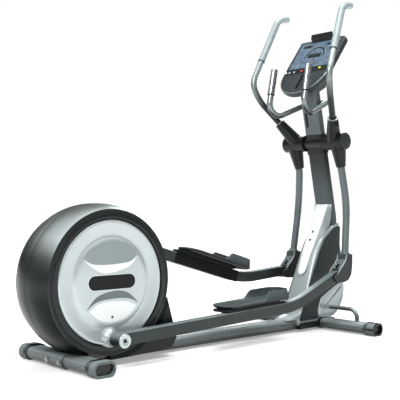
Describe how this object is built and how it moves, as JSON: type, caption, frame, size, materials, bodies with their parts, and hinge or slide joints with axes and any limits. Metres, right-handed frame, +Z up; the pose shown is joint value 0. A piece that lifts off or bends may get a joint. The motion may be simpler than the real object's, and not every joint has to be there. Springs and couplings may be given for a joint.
{
  "type": "elliptical trainer",
  "caption": "Rear-drive elliptical trainer: drum casing with turning discs, two foot arms with pedals on swing arms, mast with console and fixed grips.",
  "frame": {"origin": "centre of the footprint on the floor", "axes": "+X forward (the way the user faces), +Y to the user's left, +Z up"},
  "size_m": [1.9423, 0.816, 1.7274],
  "materials": {
    "frame_grey": "metallic grey powder coat",
    "cap_grey": "moulded grey plastic",
    "bolt_steel": "zinc plated",
    "bolt_black": "black oxide",
    "casing": "satin black moulding, dark metallic crown",
    "inner_black": "black paint",
    "bearing_steel": "ground steel",
    "belt_rubber": "ribbed belt",
    "pulley_aluminium": "cast and turned",
    "disc_silver": "silver metallic plastic",
    "flywheel_iron": "turned iron",
    "mast_dark": "dark charcoal powder coat",
    "mast_grey": "metallic grey powder coat",
    "cover_white": "white moulding",
    "shell_grey": "light grey metallic moulding",
    "panel_charcoal": "fine textured charcoal moulding",
    "plastic_black": "fine textured black moulding",
    "console_charcoal": "textured charcoal moulding",
    "screen_blue": "printed overlay with dark windows",
    "bar_silver": "light metallic grey",
    "grip_grey": "grey moulded grip",
    "chrome": "polished sensor plates",
    "arm_grey": "gunmetal powder coat",
    "pedal_rubber": "textured charcoal moulding",
    "wheel_black": "hard wheel",
    "key_white": "moulded key",
    "key_silver": "moulded key",
    "key_red": "moulded key",
    "key_yellow": "moulded key"
  },
  "bodies": {
    "frame": {"base_tube": "frame_grey", "casing_left": "casing", "casing_right": "casing", "casing_screws": "bolt_black", "console_body": "console_charcoal", "console_hood": "plastic_black", "console_overlay": "screen_blue", "drive_bearings": "bearing_steel", "drive_belt": "belt_rubber", "drive_frame": "inner_black", "eddy_brake": "inner_black", "end_caps": "cap_grey", "frame_bolts": "bolt_steel", "front_stabilizer": "frame_grey", "hub_sleeve": "plastic_black", "lift_handle": "frame_grey", "mast_cover": "cover_white", "mast_lower": "mast_dark", "mast_upper": "mast_grey", "pivot_shaft": "bearing_steel", "pulse_bar": "bar_silver", "pulse_grips": "chrome", "rear_stabilizer": "frame_grey", "shroud_crescents": "shell_grey", "shroud_panels": "panel_charcoal", "shroud_shell": "shell_grey"},
    "crank": {"crank_axle": "bearing_steel", "crank_arms": "inner_black", "crank_pulley": "pulley_aluminium", "crank_disc_right": "disc_silver", "crank_disc_left": "disc_silver"},
    "flywheel": {"flywheel": "flywheel_iron", "flywheel_shaft": "bearing_steel"},
    "swing_right": {"swing_bar_right": "arm_grey", "handlebar_right": "bar_silver", "swing_grip_right": "grip_grey", "hub_cover_right": "plastic_black", "hub_cap_right": "panel_charcoal", "link_cover_right": "panel_charcoal"},
    "foot_right": {"foot_arm_right": "arm_grey", "crank_pin_cap_right": "disc_silver", "pedal_right": "pedal_rubber", "pedal_bracket_right": "inner_black"},
    "wheel_right": {"transport_wheel_right": "wheel_black"},
    "swing_left": {"swing_bar_left": "arm_grey", "handlebar_left": "bar_silver", "swing_grip_left": "grip_grey", "hub_cover_left": "plastic_black", "hub_cap_left": "panel_charcoal", "link_cover_left": "panel_charcoal"},
    "foot_left": {"foot_arm_left": "arm_grey", "crank_pin_cap_left": "disc_silver", "pedal_left": "pedal_rubber", "pedal_bracket_left": "inner_black"},
    "wheel_left": {"transport_wheel_left": "wheel_black"},
    "key_white": {"key_white": "key_white"},
    "key_silver_outer": {"key_silver_outer": "key_silver"},
    "key_silver_inner": {"key_silver_inner": "key_silver"},
    "key_red": {"key_red": "key_red"},
    "key_yellow": {"key_yellow": "key_yellow"}
  },
  "joints": [
    {"name": "right_arm_swing", "type": "hinge", "parent": "frame", "child": "swing_right", "pos_m": [0.801, -0.15, 1], "axis": [0, 1, 0], "range_deg": [-12, 12]},
    {"name": "left_arm_swing", "type": "hinge", "parent": "frame", "child": "swing_left", "pos_m": [0.801, 0.15, 1], "axis": [0, 1, 0], "range_deg": [-12, 12]},
    {"name": "right_foot_pivot", "type": "hinge", "parent": "swing_right", "child": "foot_right", "pos_m": [0.76, -0.18, 0.302], "axis": [0, 1, 0], "range_deg": [-12, 12]},
    {"name": "left_foot_pivot", "type": "hinge", "parent": "swing_left", "child": "foot_left", "pos_m": [0.76, 0.18, 0.302], "axis": [0, 1, 0], "range_deg": [-12, 12]},
    {"name": "crank_spin", "type": "hinge", "parent": "frame", "child": "crank", "pos_m": [-0.646, 0, 0.349], "axis": [0, 1, 0], "continuous": true},
    {"name": "flywheel_spin", "type": "hinge", "parent": "frame", "child": "flywheel", "pos_m": [-0.463, 0, 0.349], "axis": [0, 1, 0], "continuous": true},
    {"name": "wheel_right_spin", "type": "hinge", "parent": "frame", "child": "wheel_right", "pos_m": [0.825, -0.378, 0.022], "axis": [0, 1, 0], "continuous": true},
    {"name": "wheel_left_spin", "type": "hinge", "parent": "frame", "child": "wheel_left", "pos_m": [0.825, 0.378, 0.022], "axis": [0, 1, 0], "continuous": true},
    {"name": "key_white_press", "type": "slide", "parent": "frame", "child": "key_white", "axis": [0.7934, 0, -0.6088], "range_m": [0, 0.0015], "stiffness_N_per_m": 600, "springref_m": -0.0005},
    {"name": "key_silver_outer_press", "type": "slide", "parent": "frame", "child": "key_silver_outer", "axis": [0.7934, 0, -0.6088], "range_m": [0, 0.0015], "stiffness_N_per_m": 600, "springref_m": -0.0005},
    {"name": "key_silver_inner_press", "type": "slide", "parent": "frame", "child": "key_silver_inner", "axis": [0.7934, 0, -0.6088], "range_m": [0, 0.0015], "stiffness_N_per_m": 600, "springref_m": -0.0005},
    {"name": "key_red_press", "type": "slide", "parent": "frame", "child": "key_red", "axis": [0.7934, 0, -0.6088], "range_m": [0, 0.0015], "stiffness_N_per_m": 600, "springref_m": -0.0005},
    {"name": "key_yellow_press", "type": "slide", "parent": "frame", "child": "key_yellow", "axis": [0.7934, 0, -0.6088], "range_m": [0, 0.0015], "stiffness_N_per_m": 600, "springref_m": -0.0005}
  ],
  "couplings": [
    {"joint": "left_arm_swing", "follows": "right_arm_swing", "ratio": -1},
    {"joint": "right_foot_pivot", "follows": "right_arm_swing", "ratio": -1},
    {"joint": "left_foot_pivot", "follows": "right_arm_swing", "ratio": 1},
    {"joint": "crank_spin", "follows": "right_arm_swing", "ratio": 3.31},
    {"joint": "flywheel_spin", "follows": "right_arm_swing", "ratio": 21.064}
  ]
}
